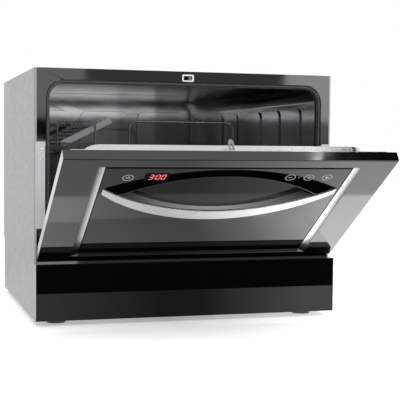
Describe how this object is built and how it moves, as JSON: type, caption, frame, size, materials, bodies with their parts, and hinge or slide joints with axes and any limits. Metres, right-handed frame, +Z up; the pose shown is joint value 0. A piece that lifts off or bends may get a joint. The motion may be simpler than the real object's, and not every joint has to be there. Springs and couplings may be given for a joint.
{
  "type": "countertop dishwasher",
  "caption": "Countertop dishwasher with a drop-down door, lens-shaped pull recess, sliding wire rack, folding cup shelf, rotating spray arm and complete wash system.",
  "frame": {"origin": "centre of the four feet on the standing plane; the middle of the cabinet's width and of its depth with the door closed", "axes": "+X to the right seen from the front, +Y to the back, +Z up"},
  "size_m": [0.55, 0.7609, 0.445],
  "materials": {
    "base_plastic": "fine grain",
    "rubber": "matte",
    "panel_paint": "satin silver-grey paint",
    "rear_steel": "satin",
    "gloss_black": "mirror gloss",
    "kick_gloss": "mirror gloss",
    "door_black": "mirror gloss",
    "door_glass": "black glass",
    "bright_steel": "polished",
    "zinc_steel": "zinc plated",
    "stainless": "bright rolled stainless",
    "liner_steel": "bright rolled stainless",
    "filter_steel": "perforated stainless",
    "motor_steel": "painted",
    "felt": "felt",
    "bezel_plastic": "satin",
    "tongue_plastic": "satin",
    "dark_plastic": "satin",
    "grey_plastic": "satin",
    "pull_plastic": "gloss",
    "silver_trim": "satin chrome",
    "circuit_board": "solder mask",
    "white_plastic": "satin",
    "lid_plastic": "satin",
    "cap_plastic": "satin",
    "cap_white": "satin",
    "rack_wire": "coated wire",
    "wheel_plastic": "satin",
    "shelf_plastic": "satin",
    "basket_plastic": "satin",
    "arm_plastic": "satin",
    "filter_plastic": "satin",
    "hose_rubber": "matte",
    "clear_plastic": "satin"
  },
  "bodies": {
    "cabinet": {"base_tray": "base_plastic", "feet": "rubber", "left_side_panel": "panel_paint", "right_side_panel": "panel_paint", "top_panel": "panel_paint", "rear_panel": "rear_steel", "front_frame": "gloss_black", "frame_screws": "bright_steel", "rear_screws": "zinc_steel", "kick_panel": "kick_gloss", "tub": "stainless", "tub_gasket": "rubber", "tub_blanket": "felt", "latch_bezel": "bezel_plastic", "latch_box": "dark_plastic", "hinge_brackets": "zinc_steel", "hinge_pins": "bright_steel", "spray_hub": "dark_plastic", "sump": "dark_plastic", "filter_plate": "filter_steel", "softener_tank": "white_plastic", "wash_pump": "dark_plastic", "pump_motor": "motor_steel", "drain_pump": "dark_plastic", "heater": "zinc_steel", "water_pipes": "hose_rubber", "air_break": "clear_plastic", "control_module": "dark_plastic", "inlet_valve": "white_plastic", "drain_outlet": "dark_plastic", "cord_gland": "rubber"},
    "door": {"door_shell": "door_black", "door_glass": "door_glass", "handle_cup": "pull_plastic", "handle_trim": "silver_trim", "display_board": "circuit_board", "door_hinge_arms": "zinc_steel", "door_liner": "liner_steel", "latch_tongue": "tongue_plastic", "dispenser_body": "white_plastic"},
    "latch_catch": {"latch_catch": "grey_plastic"},
    "dispenser_lid": {"dispenser_lid": "lid_plastic"},
    "rinse_aid_cap": {"rinse_aid_cap": "cap_plastic"},
    "rack": {"lower_rack": "rack_wire", "rack_axles": "grey_plastic", "cutlery_basket": "basket_plastic"},
    "front_wheels": {"front_wheels": "wheel_plastic"},
    "rear_wheels": {"rear_wheels": "wheel_plastic"},
    "cup_shelf": {"cup_shelf": "shelf_plastic"},
    "spray_arm": {"spray_arm": "arm_plastic"},
    "filter_cylinder": {"filter_cylinder": "filter_plastic"},
    "salt_cap": {"salt_cap": "cap_white"}
  },
  "joints": [
    {"name": "door_hinge", "type": "hinge", "parent": "cabinet", "child": "door", "pos_m": [0, -0.241, 0.127], "axis": [1, 0, 0], "range_deg": [-57, 33]},
    {"name": "latch_catch_slide", "type": "slide", "parent": "cabinet", "child": "latch_catch", "axis": [1, 0, 0], "range_m": [0, 0.0018], "stiffness_N_per_m": 300},
    {"name": "dispenser_lid_hinge", "type": "hinge", "parent": "door", "child": "dispenser_lid", "pos_m": [-0.063, -0.26982, 0.18912], "axis": [-1, 0, 0], "range_deg": [0, 100]},
    {"name": "rinse_aid_cap_twist", "type": "hinge", "parent": "door", "child": "rinse_aid_cap", "pos_m": [0.01, -0.29662, 0.20843], "axis": [0, 0.5446, 0.8387], "range_deg": [0, 90]},
    {"name": "rack_slide", "type": "slide", "parent": "cabinet", "child": "rack", "axis": [0, -1, 0], "range_m": [0, 0.07]},
    {"name": "front_wheel_spin", "type": "hinge", "parent": "rack", "child": "front_wheels", "pos_m": [0, -0.124, 0.1732], "axis": [1, 0, 0], "range_deg": [0, 309]},
    {"name": "rear_wheel_spin", "type": "hinge", "parent": "rack", "child": "rear_wheels", "pos_m": [0, 0.128, 0.1732], "axis": [1, 0, 0], "range_deg": [0, 309]},
    {"name": "cup_shelf_fold", "type": "hinge", "parent": "rack", "child": "cup_shelf", "pos_m": [-0.212, -0.005, 0.316], "axis": [0, -1, 0], "range_deg": [-20, 58]},
    {"name": "spray_arm_spin", "type": "hinge", "parent": "cabinet", "child": "spray_arm", "pos_m": [0, 0.004, 0.167], "axis": [0, 0, 1], "continuous": true},
    {"name": "filter_twist", "type": "hinge", "parent": "cabinet", "child": "filter_cylinder", "pos_m": [0.062, -0.082, 0.12], "axis": [0, 0, 1], "range_deg": [0, 90]},
    {"name": "salt_cap_twist", "type": "hinge", "parent": "cabinet", "child": "salt_cap", "pos_m": [-0.122, -0.078, 0.15], "axis": [0, 0, 1], "range_deg": [0, 120]}
  ],
  "couplings": [
    {"joint": "front_wheel_spin", "follows": "rack_slide", "rad_per_m": 76.923},
    {"joint": "rear_wheel_spin", "follows": "rack_slide", "rad_per_m": 76.923}
  ]
}
